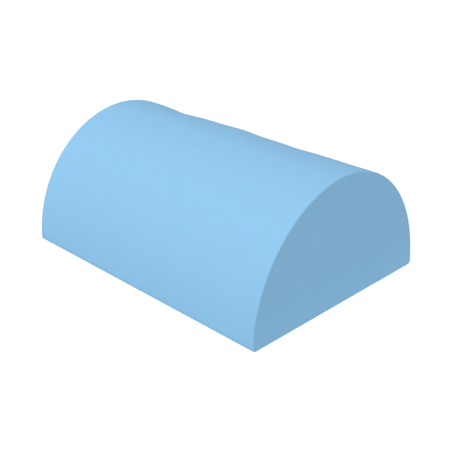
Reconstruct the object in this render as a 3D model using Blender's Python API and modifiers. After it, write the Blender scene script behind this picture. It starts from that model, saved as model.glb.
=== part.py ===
"""Half-round lumbar support cushion: a foam block in a thin liner, inside a sewn cover with a zip.

Metres, +Z up. The origin is the middle of the flat base, +X runs along the length, -Y is the front,
and the zip lies low on the rear wall, facing +Y. Run it in Blender 4.5.
"""

from math import asin, atan2, cos, pi, radians, sin

import bmesh
import bpy
from mathutils import Matrix, Vector

# Overall size. The section is half an ellipse on a flat base, with its two lower edges rounded.
LENGTH = 0.400
WIDTH = 0.300
HEIGHT = 0.165
EDGE_RADIUS = 0.005

# Cloth thicknesses, and the gap left between pieces that touch.
COVER_THICKNESS = 0.0010
LINER_THICKNESS = 0.0006
FIT_GAP = 0.0003
LEAST_RADIUS = 0.0006
END_PANEL_EDGE = 0.0003
FOAM_EDGE = 0.0015

# Zip, a coil zip of the No. 5 size: where it runs, the margin of its window round the slider, and its
# chain.
ZIP_HEIGHT = 0.022
ZIP_TO_END_PANEL = 0.0300
ZIP_OPENING_MARGIN = 0.00045
ZIP_OPENING_CORNER = 0.0015
ZIP_END_CLEARANCE = 0.0012
TAPE_THICKNESS = 0.0005
TAPE_WIDTH = 0.0140
TAPE_OVERLAP = 0.0100
COIL_WIDTH = 0.0023
COIL_HEIGHT = 0.0020
COIL_SPACING = 0.0015
STOP_LENGTH = 0.0030
STOP_RISE = 0.0008

# Zip slider and its pull tab.
SLIDER_LENGTH = 0.0110
SLIDER_PLATE = 0.0010
SLIDER_INNER_PLATE = 0.0008
SLIDER_RAIL = 0.0009
SLIDER_WEB = 0.0009
SLIDER_WEB_LENGTH = 0.0026
SLIDER_WEB_SETBACK = 0.0010
BRIDGE_WALL = 0.0011
BRIDGE_WIDTH = 0.0015
TAB_LENGTH = 0.0220
TAB_WIDTH = 0.0064
TAB_THICKNESS = 0.0012
TAB_BAR = 0.0014
TAB_ROOT_CHAMFER = 0.0006
TAB_RIBS = 4
TAB_RIB_WIDTH = 0.0007
TAB_RIB_SPACING = 0.0014
TAB_RIB_HEIGHT = 0.0003

# Thread.
THREAD_RADIUS = 0.00025
BARTACK_LENGTH = 0.0018
BARTACK_MARGIN = 0.0008
TOPSTITCH_MARGIN = 0.0024

# How finely the section is faceted.
CROWN_STEPS = 44
CORNER_STEPS = 4
ARCH_STEPS = 12
TIP_STEPS = 16
WELD = 0.000001


# ---------------------------------------------------------------- section of the cushion

HALF_WIDTH = WIDTH / 2


def ellipse_parameter(normal_angle):
    return atan2(HEIGHT * sin(normal_angle), HALF_WIDTH * cos(normal_angle))


def normal_angle_at(height):
    """Angle of the rear wall's outward normal at this height, from +Y towards +Z."""
    parameter = asin(height / HEIGHT)
    return atan2(HALF_WIDTH * sin(parameter), HEIGHT * cos(parameter))


def corner(radius):
    """(normal angle where the corner arc meets the wall, y of the arc's centre)."""
    angle = normal_angle_at(radius)
    for _ in range(12):
        angle = normal_angle_at(radius * (1 + sin(angle)))
    return angle, HALF_WIDTH * cos(ellipse_parameter(angle)) - radius * cos(angle)


def skin_point(normal_angle, inset):
    """Point of the section whose outward normal has this angle, set in from the outer skin.

    The angle runs from -90 degrees at the rear lower edge, over the top at 90, to 270 at the front.
    """
    radius = max(EDGE_RADIUS, inset + LEAST_RADIUS)
    meets, centre = corner(radius)
    if normal_angle < meets:
        start, y, z = radius, centre, radius
    elif normal_angle > pi - meets:
        start, y, z = radius, -centre, radius
    else:
        parameter = ellipse_parameter(normal_angle)
        start, y, z = 0, HALF_WIDTH * cos(parameter), HEIGHT * sin(parameter)
    out = start - inset
    return y + out * cos(normal_angle), z + out * sin(normal_angle)


def skin_path(first, last, inset):
    """Points of the section from one normal angle to another, with a finer step round the corners."""
    meets, _ = corner(max(EDGE_RADIUS, inset + LEAST_RADIUS))
    stretches = (
        (-pi / 2, meets, CORNER_STEPS),
        (meets, pi - meets, CROWN_STEPS),
        (pi - meets, 3 * pi / 2, CORNER_STEPS),
    )
    angles = [first]
    for low, high, steps in stretches:
        step = (high - low) / steps
        for i in range(steps + 1):
            angle = low + i * step
            if angles[-1] + step / 4 < angle < last - step / 4:
                angles.append(angle)
    angles.append(last)
    return [skin_point(angle, inset) for angle in angles]


def full_section(inset):
    """The whole section, closed by the straight base between its last point and its first."""
    return skin_path(-pi / 2, 3 * pi / 2, inset)


# The zip's window follows the slider, which follows the coils.
ZIP_OPENING_LENGTH = LENGTH - 2 * ZIP_TO_END_PANEL
COIL_LENGTH = ZIP_OPENING_LENGTH - 2 * (STOP_LENGTH + FIT_GAP + ZIP_END_CLEARANCE)
RAIL_INNER = COIL_SPACING / 2 + COIL_WIDTH + FIT_GAP
SLIDER_WIDTH = 2 * (RAIL_INNER + SLIDER_RAIL)
ZIP_OPENING_HEIGHT = SLIDER_WIDTH + 2 * ZIP_OPENING_MARGIN

# Each layer starts where the one outside it ends. The room between cover and liner takes the zip's
# tape and the plate of its slider that runs inside the cover.
TAPE_INSET = COVER_THICKNESS + FIT_GAP
SLIDER_INSET = TAPE_INSET + TAPE_THICKNESS + FIT_GAP
LINER_INSET = SLIDER_INSET + SLIDER_INNER_PLATE + FIT_GAP
FOAM_INSET = LINER_INSET + LINER_THICKNESS + FIT_GAP
THREAD_INSET = COVER_THICKNESS + FIT_GAP + THREAD_RADIUS

COVER_HALF = LENGTH / 2 - COVER_THICKNESS - FIT_GAP
LINER_HALF = LENGTH / 2 - LINER_INSET
LINER_SLEEVE_HALF = LINER_HALF - LINER_THICKNESS - FIT_GAP
FOAM_HALF = LENGTH / 2 - FOAM_INSET
END_THREAD_X = LENGTH / 2 - COVER_THICKNESS - FIT_GAP - THREAD_RADIUS
SEAM_THREAD_HALF = END_THREAD_X - THREAD_RADIUS - FIT_GAP


# ---------------------------------------------------------------- scene and finishes

for leftover in list(bpy.data.objects):
    bpy.data.objects.remove(leftover)

parts = bpy.data.collections.new("lumbar_support_cushion")
helpers = bpy.data.collections.new("cutters")
bpy.context.scene.collection.children.link(parts)
bpy.context.scene.collection.children.link(helpers)


def finish(name, colour, roughness, metallic=0.0):
    material = bpy.data.materials.new(name)
    material.use_nodes = True
    shader = material.node_tree.nodes["Principled BSDF"]
    shader.inputs["Base Color"].default_value = (*colour, 1)
    shader.inputs["Roughness"].default_value = roughness
    shader.inputs["Metallic"].default_value = metallic
    material.diffuse_color = (*colour, 1)
    return material


COVER_CLOTH = finish("cover_cloth", (0.305, 0.610, 0.905), 0.85)
LINER_CLOTH = finish("liner_cloth", (0.82, 0.83, 0.82), 0.90)
FOAM = finish("foam", (0.86, 0.80, 0.62), 0.95)
TAPE = finish("zip_tape", (0.260, 0.540, 0.830), 0.80)
COIL = finish("zip_coil", (0.240, 0.500, 0.790), 0.35)
ZIP_METAL = finish("zip_metal", (0.62, 0.62, 0.63), 0.30, 1.0)
THREAD = finish("thread", (0.290, 0.585, 0.880), 0.70)


# ---------------------------------------------------------------- ways of making a solid


def add(mesh, name, material, collection=parts):
    """A new object for this mesh, smooth but for its sharp edges."""
    mesh.name = name
    mesh.shade_smooth()
    mesh.set_sharp_from_angle(angle=radians(30))
    mesh.materials.clear()
    mesh.materials.append(material)
    piece = bpy.data.objects.new(name, mesh)
    collection.objects.link(piece)
    return piece


def hide(piece):
    piece.hide_render = True
    piece.display_type = "WIRE"


def place(piece, matrix, parent=None):
    """Sets a piece's location and rotation, in its parent's frame if it has one."""
    piece.location = matrix.to_translation()
    piece.rotation_mode = "QUATERNION"
    piece.rotation_quaternion = matrix.to_quaternion()
    piece.parent = parent
    return piece


def bevel(piece, width, segments=2, angle=radians(30)):
    modifier = piece.modifiers.new("edges", "BEVEL")
    modifier.width = width
    modifier.segments = segments
    modifier.limit_method = "ANGLE"
    modifier.angle_limit = angle
    return piece


def boolean(piece, other, operation):
    modifier = piece.modifiers.new(other.name, "BOOLEAN")
    modifier.object = other
    modifier.operation = operation
    modifier.solver = "EXACT"
    return piece


def mesh_of_curve(curve):
    """A curve's solid as a welded mesh. The curve is removed."""
    source = bpy.data.objects.new(curve.name, curve)
    helpers.objects.link(source)
    graph = bpy.context.evaluated_depsgraph_get()
    mesh = bpy.data.meshes.new_from_object(source.evaluated_get(graph))
    bpy.data.objects.remove(source)
    welded = bmesh.new()
    welded.from_mesh(mesh)
    bmesh.ops.remove_doubles(welded, verts=welded.verts, dist=WELD)
    bmesh.ops.recalc_face_normals(welded, faces=welded.faces)
    welded.to_mesh(mesh)
    welded.free()
    return mesh


def spline(curve, points, closed):
    line = curve.splines.new("POLY")
    line.points.add(len(points) - 1)
    for point, place_at in zip(line.points, points):
        point.co = (*place_at, 1)
    line.use_cyclic_u = closed


def plate(name, outlines, thickness, material, collection=parts):
    """Flat outlines in local XY, filled and given a thickness along local Z about the middle."""
    curve = bpy.data.curves.new(name, "CURVE")
    curve.dimensions = "2D"
    curve.fill_mode = "BOTH"
    curve.extrude = thickness / 2
    for outline in outlines:
        spline(curve, [(x, y, 0) for x, y in outline], True)
    return add(mesh_of_curve(curve), name, material, collection)


def thread(name, points, closed=False):
    """A round thread along these points."""
    curve = bpy.data.curves.new(name, "CURVE")
    curve.dimensions = "3D"
    curve.bevel_depth = THREAD_RADIUS
    curve.bevel_resolution = 1
    curve.use_fill_caps = not closed
    spline(curve, points, closed)
    return add(mesh_of_curve(curve), name, THREAD)


def block(name, size, material, collection=parts):
    """A box about its own middle."""
    made = bmesh.new()
    bmesh.ops.create_cube(made, size=1, matrix=Matrix.Diagonal((*size, 1)))
    mesh = bpy.data.meshes.new(name)
    made.to_mesh(mesh)
    made.free()
    return add(mesh, name, material, collection)


# A flat outline drawn in local XY lies across the cushion: local X is +Y, local Y is +Z, local Z is +X.
ACROSS = Matrix(((0, 0, 1), (1, 0, 0), (0, 1, 0))).to_4x4()


def across_at(x):
    return Matrix.Translation((x, 0, 0)) @ ACROSS


def cloth_panel(name, stretches, inset, thickness, half_length, material):
    """A cloth panel that follows the section between pairs of normal angles, swept along X."""
    outer = [point for first, last in stretches for point in skin_path(first, last, inset)]
    inner = [point for first, last in stretches for point in skin_path(first, last, inset + thickness)]
    cloth = plate(name, [outer + inner[::-1]], 2 * half_length, material)
    return place(cloth, across_at(0))


# ---------------------------------------------------------------- foam and liner


def make_foam():
    """One cut block, its sharp edges eased."""
    foam = plate("foam_core", [full_section(FOAM_INSET)], 2 * FOAM_HALF, FOAM)
    place(bevel(foam, FOAM_EDGE, 2, radians(50)), across_at(0))


def make_liner():
    """A sleeve round the foam, closed by two half-round ends that cover its edge."""
    section = full_section(LINER_INSET)
    inside = full_section(LINER_INSET + LINER_THICKNESS)
    place(plate("liner_sleeve", [section, inside], 2 * LINER_SLEEVE_HALF, LINER_CLOTH), across_at(0))
    middle = LINER_HALF - LINER_THICKNESS / 2
    for side, x in (("left", -middle), ("right", middle)):
        place(plate("liner_end_" + side, [section], LINER_THICKNESS, LINER_CLOTH), across_at(x))


# ---------------------------------------------------------------- zip line on the rear wall

ZIP_ANGLE = normal_angle_at(ZIP_HEIGHT)


def make_zip_frame():
    """Empty on the rear wall: local X along the opening stroke (-X), local Y up the wall, local Z out."""
    y, z = skin_point(ZIP_ANGLE, 0)
    out = Vector((0, cos(ZIP_ANGLE), sin(ZIP_ANGLE)))
    up = Vector((0, -sin(ZIP_ANGLE), cos(ZIP_ANGLE)))
    turn = Matrix((Vector((-1, 0, 0)), up, out)).transposed().to_4x4()
    frame = bpy.data.objects.new("zip_line", None)
    parts.objects.link(frame)
    return place(frame, Matrix.Translation((0, y, z)) @ turn)


zip_line = make_zip_frame()


def angle_beside_zip(distance):
    """Normal angle of the rear wall at this distance up the wall from the middle of the zip."""
    return normal_angle_at(ZIP_HEIGHT + distance * cos(ZIP_ANGLE))


def on_zip(piece, x=0.0, y=0.0, z=0.0, parent=zip_line):
    """Puts a piece at a place on the zip line or on one of its moving empties."""
    return place(piece, Matrix.Translation((x, y, z)), parent)


def rounded_rectangle(length, width, radius, steps=5):
    points = []
    for quarter in range(4):
        turn = quarter * pi / 2
        x = (length / 2 - radius) * (1 if quarter in (0, 3) else -1)
        y = (width / 2 - radius) * (1 if quarter in (0, 1) else -1)
        for i in range(steps + 1):
            angle = turn + i * pi / 2 / steps
            points.append((x + radius * cos(angle), y + radius * sin(angle)))
    return points


# ---------------------------------------------------------------- cover


def make_cover():
    """Curved panel and base panel between two half-round ends, with a window for the zip."""
    front_edge = 5 * pi / 4
    half_split = FIT_GAP / 2 / EDGE_RADIUS
    upper = [(angle_beside_zip(FIT_GAP / 2), front_edge - half_split)]
    lower = [(front_edge + half_split, 3 * pi / 2), (-pi / 2, angle_beside_zip(-FIT_GAP / 2))]
    curved = cloth_panel("cover_curved_panel", upper, 0, COVER_THICKNESS, COVER_HALF, COVER_CLOTH)
    base = cloth_panel("cover_base_panel", lower, 0, COVER_THICKNESS, COVER_HALF, COVER_CLOTH)

    outline = rounded_rectangle(ZIP_OPENING_LENGTH, ZIP_OPENING_HEIGHT, ZIP_OPENING_CORNER)
    window = plate("zip_window_cutter", [outline], 6 * COVER_THICKNESS, COVER_CLOTH, helpers)
    hide(on_zip(window))
    for panel in (curved, base):
        boolean(panel, window, "DIFFERENCE")

    middle = (LENGTH - COVER_THICKNESS) / 2
    for side, x in (("left", -middle), ("right", middle)):
        end = plate("cover_end_" + side, [full_section(0)], COVER_THICKNESS, COVER_CLOTH)
        place(bevel(end, END_PANEL_EDGE, 2, radians(50)), across_at(x))


def make_seam_threads():
    """Thread behind each seam of the cover: round both ends, along the front, and beside the zip."""
    section = full_section(THREAD_INSET)
    for side, x in (("left", -END_THREAD_X), ("right", END_THREAD_X)):
        thread("seam_thread_end_" + side, [(x, y, z) for y, z in section], closed=True)

    y, z = skin_point(5 * pi / 4, THREAD_INSET)
    thread("seam_thread_front_edge", [(x, y, z) for x in (-SEAM_THREAD_HALF, SEAM_THREAD_HALF)])

    y, z = skin_point(ZIP_ANGLE, THREAD_INSET)
    inner = ZIP_OPENING_LENGTH / 2 + TAPE_OVERLAP + FIT_GAP
    for side, sign in (("left", -1), ("right", 1)):
        ends = (sign * inner, sign * SEAM_THREAD_HALF)
        thread("seam_thread_rear_" + side, [(x, y, z) for x in ends])


# ---------------------------------------------------------------- zip chain

COIL_CENTRE = (COIL_SPACING + COIL_WIDTH) / 2
COIL_TOP = COIL_HEIGHT - COVER_THICKNESS
STOP_CENTRE = (COIL_LENGTH + STOP_LENGTH) / 2 + FIT_GAP


def make_tapes():
    """Two woven tapes that lie against the inside of the cover, above and below the chain."""
    half_length = ZIP_OPENING_LENGTH / 2 + TAPE_OVERLAP
    near, far = COIL_SPACING / 2, COIL_SPACING / 2 + TAPE_WIDTH
    for side, low, high in (("upper", near, far), ("lower", -far, -near)):
        stretch = (angle_beside_zip(low), angle_beside_zip(high))
        cloth_panel("zip_tape_" + side, [stretch], TAPE_INSET, TAPE_THICKNESS, half_length, TAPE)


def make_chain():
    """A coil on each tape, a stop on each coil where the zip closes, and one stop across both."""
    middle = COIL_TOP - COIL_HEIGHT / 2
    stop_height = COIL_HEIGHT + STOP_RISE
    stop_middle = COIL_TOP - COIL_HEIGHT + stop_height / 2
    for side, sign in (("upper", 1), ("lower", -1)):
        coil = block("zip_coil_" + side, (COIL_LENGTH, COIL_WIDTH, COIL_HEIGHT), COIL)
        on_zip(bevel(coil, 0.3 * COIL_HEIGHT), 0, sign * COIL_CENTRE, middle)
        stop = block("zip_top_stop_" + side, (STOP_LENGTH, COIL_WIDTH, stop_height), ZIP_METAL)
        on_zip(bevel(stop, 0.2 * COIL_HEIGHT), -STOP_CENTRE, sign * COIL_CENTRE, stop_middle)
    width = COIL_SPACING + 2 * COIL_WIDTH
    stop = block("zip_bottom_stop", (STOP_LENGTH, width, stop_height), ZIP_METAL)
    on_zip(bevel(stop, 0.2 * COIL_HEIGHT), STOP_CENTRE, 0, stop_middle)


def make_zip_stitching():
    """A row of thread above and below the window, and a dense bar over each end of the zip."""
    half_length = ZIP_OPENING_LENGTH / 2
    row = ZIP_OPENING_HEIGHT / 2 + TOPSTITCH_MARGIN
    for side, sign in (("upper", 1), ("lower", -1)):
        y, z = skin_point(angle_beside_zip(sign * row), -FIT_GAP - THREAD_RADIUS)
        thread("zip_topstitch_" + side, [(x, y, z) for x in (-half_length, half_length)])
    rise = FIT_GAP + THREAD_RADIUS
    beside = half_length + ZIP_OPENING_CORNER + BARTACK_LENGTH / 2
    size = (BARTACK_LENGTH, ZIP_OPENING_HEIGHT + 2 * BARTACK_MARGIN, 2 * THREAD_RADIUS)
    for side, x in (("left", beside), ("right", -beside)):
        bar = block("zip_bartack_" + side, size, THREAD)
        on_zip(bevel(bar, 0.4 * THREAD_RADIUS), x, 0, rise)


# ---------------------------------------------------------------- slider and pull tab

PLATE_UNDERSIDE = COIL_TOP + FIT_GAP
PLATE_TOP = PLATE_UNDERSIDE + SLIDER_PLATE
RAIL_END = -COVER_THICKNESS
INNER_PLATE_TOP = -SLIDER_INSET
PIN_REACH = (TAB_THICKNESS ** 2 + TAB_BAR ** 2) ** 0.5 / 2
BRIDGE_INNER = PIN_REACH + FIT_GAP
BRIDGE_OUTER = BRIDGE_INNER + BRIDGE_WALL
PIVOT_HEIGHT = PLATE_TOP + BRIDGE_INNER
SLIDER_AT_REST = -(COIL_LENGTH - SLIDER_LENGTH) / 2


def moving_frame(name, x, z, parent):
    """Empty that carries a moving piece, on its joint's axis."""
    frame = bpy.data.objects.new(name, None)
    parts.objects.link(frame)
    return on_zip(frame, x, 0, z, parent)


def make_slider(axis):
    """Two plates joined by a web between the coils, with side rails and a bridge for the tab."""
    overlap = SLIDER_PLATE / 3
    outline = rounded_rectangle(SLIDER_LENGTH, SLIDER_WIDTH, SLIDER_WIDTH / 4)
    slider = plate("zip_slider_body", [outline], SLIDER_PLATE, ZIP_METAL)
    on_zip(bevel(slider, 0.2 * SLIDER_PLATE), 0, 0, PLATE_UNDERSIDE + SLIDER_PLATE / 2, axis)

    def join(piece, x, y, z):
        hide(on_zip(piece, x, y, z, axis))
        boolean(slider, piece, "UNION")

    inner = plate("slider_inner_plate", [outline], SLIDER_INNER_PLATE, ZIP_METAL, helpers)
    bevel(inner, 0.2 * SLIDER_INNER_PLATE)

    rail_length = SLIDER_LENGTH - SLIDER_WIDTH / 2
    rail_height = PLATE_UNDERSIDE - RAIL_END + overlap
    for side, sign in (("upper", 1), ("lower", -1)):
        rail = block("slider_rail_" + side, (rail_length, SLIDER_RAIL, rail_height), ZIP_METAL, helpers)
        join(rail, 0, sign * (RAIL_INNER + SLIDER_RAIL / 2), RAIL_END + rail_height / 2)

    web_low = INNER_PLATE_TOP - overlap
    web_high = PLATE_UNDERSIDE + overlap
    web_outline = rounded_rectangle(SLIDER_WEB_LENGTH, SLIDER_WEB, 0.4 * SLIDER_WEB)
    web = plate("slider_web", [web_outline], web_high - web_low, ZIP_METAL, helpers)
    web_x = SLIDER_WEB_LENGTH / 2 + SLIDER_WEB_SETBACK - SLIDER_LENGTH / 2
    join(web, web_x, 0, (web_low + web_high) / 2)
    join(inner, 0, 0, INNER_PLATE_TOP - SLIDER_INNER_PLATE / 2)

    bridge = plate("slider_bridge", [bridge_outline(overlap)], BRIDGE_WIDTH, ZIP_METAL, helpers)
    bevel(bridge, 0.15 * BRIDGE_WALL)
    upright = Matrix.Rotation(pi / 2, 4, "X")
    hide(place(bridge, Matrix.Translation((0, 0, PIVOT_HEIGHT)) @ upright, axis))
    boolean(slider, bridge, "UNION")


def bridge_outline(overlap):
    """An arch about the pivot, with straight legs that run into the plate below it."""
    foot = -BRIDGE_INNER - overlap
    points = [(BRIDGE_OUTER, foot)]
    for i in range(ARCH_STEPS + 1):
        angle = i * pi / ARCH_STEPS
        points.append((BRIDGE_OUTER * cos(angle), BRIDGE_OUTER * sin(angle)))
    points += [(-BRIDGE_OUTER, foot), (-BRIDGE_INNER, foot)]
    for i in range(ARCH_STEPS + 1):
        angle = pi - i * pi / ARCH_STEPS
        points.append((BRIDGE_INNER * cos(angle), BRIDGE_INNER * sin(angle)))
    points.append((BRIDGE_INNER, foot))
    return points


def make_pull_tab(axis):
    """A flat tab whose end bar turns under the bridge. It lies along the closed chain."""
    root = -TAB_BAR / 2
    half = TAB_WIDTH / 2
    tip = TAB_LENGTH - half
    outline = [(root, TAB_ROOT_CHAMFER - half), (root + TAB_ROOT_CHAMFER, -half)]
    for i in range(TIP_STEPS + 1):
        angle = (i / TIP_STEPS - 0.5) * pi
        outline.append((tip + half * cos(angle), half * sin(angle)))
    outline += [(root + TAB_ROOT_CHAMFER, half), (root, half - TAB_ROOT_CHAMFER)]

    eye_length = BRIDGE_OUTER + 2 * FIT_GAP - TAB_BAR / 2
    eye_width = BRIDGE_WIDTH + 4 * FIT_GAP
    eye_middle = (TAB_BAR + eye_length) / 2
    eye = [(x + eye_middle, y) for x, y in rounded_rectangle(eye_length, eye_width, FIT_GAP, 3)]
    tab = plate("zip_pull_tab", [outline, eye], TAB_THICKNESS, ZIP_METAL)
    on_zip(bevel(tab, 0.15 * TAB_THICKNESS), parent=axis)

    rib_size = (TAB_RIB_WIDTH, 0.6 * TAB_WIDTH, TAB_THICKNESS + 2 * TAB_RIB_HEIGHT)
    for i in range(TAB_RIBS):
        rib = bevel(block("tab_rib_%d" % i, rib_size, ZIP_METAL, helpers), 0.7 * TAB_RIB_HEIGHT)
        hide(on_zip(rib, tip - i * TAB_RIB_SPACING, parent=axis))
        boolean(tab, rib, "UNION")


# ---------------------------------------------------------------- assembly

make_foam()
make_liner()
make_cover()
make_seam_threads()
make_tapes()
make_chain()
make_zip_stitching()

slider_axis = moving_frame("zip_slide_axis", SLIDER_AT_REST, 0, zip_line)
pull_axis = moving_frame("zip_pull_axis", 0, PIVOT_HEIGHT, slider_axis)
make_slider(slider_axis)
make_pull_tab(pull_axis)
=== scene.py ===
"""Half-round lumbar support cushion, finished: foam block, liner, sewn cover and coil zip.

Metres, +Z up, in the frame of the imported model: +X along the length, -Y the front, and the zip
low on the rear wall. Every piece is made in its own section, in the order in which the cushion
goes together.
"""

from math import asin, atan2, cos, pi, radians, sin, tau

import bmesh
import bpy
import numpy as np
from mathutils import Matrix, Vector, kdtree


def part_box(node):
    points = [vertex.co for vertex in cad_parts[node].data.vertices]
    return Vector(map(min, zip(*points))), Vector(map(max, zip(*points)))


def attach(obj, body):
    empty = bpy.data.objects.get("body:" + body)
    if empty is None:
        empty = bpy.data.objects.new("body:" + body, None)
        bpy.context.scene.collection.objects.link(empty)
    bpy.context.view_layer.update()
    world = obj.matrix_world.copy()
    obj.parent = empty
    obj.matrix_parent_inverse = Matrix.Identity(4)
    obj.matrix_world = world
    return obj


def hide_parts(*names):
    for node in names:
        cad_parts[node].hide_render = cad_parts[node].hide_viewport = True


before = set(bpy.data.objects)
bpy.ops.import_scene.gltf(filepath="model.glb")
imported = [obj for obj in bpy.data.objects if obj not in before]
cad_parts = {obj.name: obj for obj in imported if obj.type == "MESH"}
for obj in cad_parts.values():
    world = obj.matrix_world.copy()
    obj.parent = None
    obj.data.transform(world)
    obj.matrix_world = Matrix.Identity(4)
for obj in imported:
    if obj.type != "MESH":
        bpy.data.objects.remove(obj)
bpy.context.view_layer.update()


# ---------------- foam block
# One block of open-cell polyurethane foam, cut with a hot wire to a half-round on a flat base, its
# sharp edges eased. It gives the cushion its form and is held by nothing but the liner round it.

half_length, half_width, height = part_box("cover_end_right")[1]
lower_edge_radius = 0.005
foam_inset = 0.0041
foam_eased_edge = 0.0015
foam_step = 0.006
foam_cell = 0.0016
end_middle = 0.42 * height
edge_parts = 60
crown_parts = 1600


def wall_angle(z):
    """Angle of the rear wall's outward normal at this height, from +Y towards +Z."""
    lift = asin(z / height)
    return atan2(half_width * sin(lift), height * cos(lift))


def section_outline():
    """The outline across the cushion, from the foot of its rear wall, over the top and back under.

    Gives the distance along it, y, z and the angle of the outward normal. The crown is half an
    ellipse, and an arc turns each lower edge under.
    """
    meets = wall_angle(lower_edge_radius)
    for _ in range(12):
        meets = wall_angle(lower_edge_radius * (1 + sin(meets)))
    centre = half_width * cos(atan2(height * sin(meets), half_width * cos(meets)))
    centre -= lower_edge_radius * cos(meets)
    rear = np.linspace(-pi / 2, meets, edge_parts)
    crown = np.linspace(meets, pi - meets, crown_parts)[1:-1]
    front = np.linspace(pi - meets, 1.5 * pi, edge_parts)
    share = np.arctan2(height * np.sin(crown), half_width * np.cos(crown))
    y = np.r_[
        centre + lower_edge_radius * np.cos(rear),
        half_width * np.cos(share),
        lower_edge_radius * np.cos(front) - centre,
        centre,
    ]
    z = np.r_[
        lower_edge_radius * (1 + np.sin(rear)),
        height * np.sin(share),
        lower_edge_radius * (1 + np.sin(front)),
        0,
    ]
    turn = np.r_[rear, crown, front, 1.5 * pi]
    return np.r_[0, np.cumsum(np.hypot(np.diff(y), np.diff(z)))], y, z, turn


outline_along, outline_y, outline_z, outline_turn = section_outline()
girth = outline_along[-1]


def normal_at(along):
    """Angle of the section's outward normal at a distance along it."""
    return np.interp(np.mod(along, girth), outline_along, outline_turn)


def section(along, inset=0.0):
    """(y, z) at a distance along the section, set in from the outer skin."""
    place = np.mod(along, girth)
    turn = np.interp(place, outline_along, outline_turn)
    y = np.interp(place, outline_along, outline_y) - inset * np.cos(turn)
    z = np.interp(place, outline_along, outline_z) - inset * np.sin(turn)
    return y, z


def along_at(turn):
    """Distance along the section at which its outward normal has this angle."""
    return float(np.interp(turn, outline_turn[:-1], outline_along[:-1]))


def steps(first, last, spacing):
    """Even steps from first to last, about this far apart."""
    return np.linspace(first, last, max(2, round(abs(last - first) / spacing) + 1))


def shrunk(y, z, size):
    """The section's points drawn in towards the middle of an end."""
    return y * size, end_middle + (z - end_middle) * size


def new_piece(name, data):
    piece = bpy.data.objects.new(name, data)
    bpy.context.scene.collection.objects.link(piece)
    return piece


def half_round(name, inset, reach, roll, spacing):
    """A closed half-round block whose ends are rolled over to flat faces."""
    around = steps(0, girth, spacing)[:-1]
    turns = np.linspace(pi / 2, 0, 5)
    shrink = steps(0, 1, spacing / half_width)[1:-1]
    rings = [(-reach, roll, k) for k in shrink]
    rings += [(-reach + roll - roll * sin(a), roll * (1 - cos(a)), 1) for a in turns]
    rings += [(x, 0, 1) for x in steps(roll - reach, reach - roll, spacing)[1:-1]]
    rings += [(reach - roll + roll * sin(a), roll * (1 - cos(a)), 1) for a in turns[::-1]]
    rings += [(reach, roll, k) for k in shrink[::-1]]
    points = [(-reach, 0, end_middle)]
    for x, extra, size in rings:
        y, z = shrunk(*section(around, inset + extra), size)
        points += [(x, b, c) for b, c in zip(y, z)]
    points.append((reach, 0, end_middle))
    count = len(around)
    faces = []
    for ring in range(len(rings) - 1):
        low = 1 + ring * count
        for i in range(count):
            j = (i + 1) % count
            faces.append((low + i, low + j, low + count + j, low + count + i))
    last = 1 + (len(rings) - 1) * count
    for i in range(count):
        j = (i + 1) % count
        faces += [(0, 1 + j, 1 + i), (last + i, last + j, len(points) - 1)]
    mesh = bpy.data.meshes.new(name)
    mesh.from_pydata(points, [], faces)
    fixed = bmesh.new()
    fixed.from_mesh(mesh)
    bmesh.ops.recalc_face_normals(fixed, faces=fixed.faces)
    fixed.to_mesh(mesh)
    fixed.free()
    mesh.shade_smooth()
    return mesh


def add_node(tree, kind, inputs=None, **settings):
    """A new node. Each input is a value, or the output that is joined to it."""
    node = tree.nodes.new(kind)
    for name, value in settings.items():
        setattr(node, name, value)
    for name, value in (inputs or {}).items():
        if isinstance(value, bpy.types.NodeSocket):
            tree.links.new(value, node.inputs[name])
        else:
            node.inputs[name].default_value = value
    return node


def result_of(tree, kind, inputs=None, output=0, **settings):
    """One output of a new node, the first if no other is named."""
    return add_node(tree, kind, inputs, **settings).outputs[output]


def maths(tree, operation, *values):
    return result_of(tree, "ShaderNodeMath", dict(enumerate(values)), operation=operation)


def times(tree, one, other):
    return maths(tree, "MULTIPLY", one, other)


def weighed(tree, *parts):
    """The sum of some values, each given with its weight."""
    total = times(tree, *parts[0])
    for part in parts[1:]:
        total = maths(tree, "ADD", total, times(tree, *part))
    return total


def new_finish(name, colour, roughness, **more):
    """A material and its shader, with even values until nodes are joined to it."""
    finish = bpy.data.materials.new(name)
    finish.use_nodes = True
    finish.diffuse_color = (*colour, 1)
    shader = finish.node_tree.nodes["Principled BSDF"]
    for label, value in {"Base_Color": (*colour, 1), "Roughness": roughness, **more}.items():
        shader.inputs[label.replace("_", " ")].default_value = value
    return finish, finish.node_tree, shader


def own_place(tree):
    """Place on the piece, in metres."""
    return result_of(tree, "ShaderNodeTexCoord", output="Object")


def grain(tree, vector, scale, detail=2.0, roughness=0.5):
    """Soft noise, 0 to 1, of this many lumps to the metre."""
    sizes = {"Vector": vector, "Scale": scale, "Detail": detail, "Roughness": roughness}
    return result_of(tree, "ShaderNodeTexNoise", sizes, "Fac")


def tint(tree, shader, factor, dark, light):
    """Joins to the shader a colour between two, by a factor from 0 to 1."""
    colours = {"Factor": factor, 6: (*dark, 1), 7: (*light, 1)}
    mixed = result_of(tree, "ShaderNodeMix", colours, 2, data_type="RGBA")
    tree.links.new(mixed, shader.inputs["Base Color"])


def between(tree, value, low, high):
    """The value, 0 to 1, stretched to run from low to high."""
    ends = {"Value": value, "To Min": low, "To Max": high}
    return result_of(tree, "ShaderNodeMapRange", ends)


def dullness(tree, shader, value, low, high):
    """Joins to the shader a roughness that runs from low to high with the value."""
    tree.links.new(between(tree, value, low, high), shader.inputs["Roughness"])


def relief(tree, shader, level, strength, depth):
    sizes = {"Height": level, "Strength": strength, "Distance": depth}
    tree.links.new(result_of(tree, "ShaderNodeBump", sizes), shader.inputs["Normal"])


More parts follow.
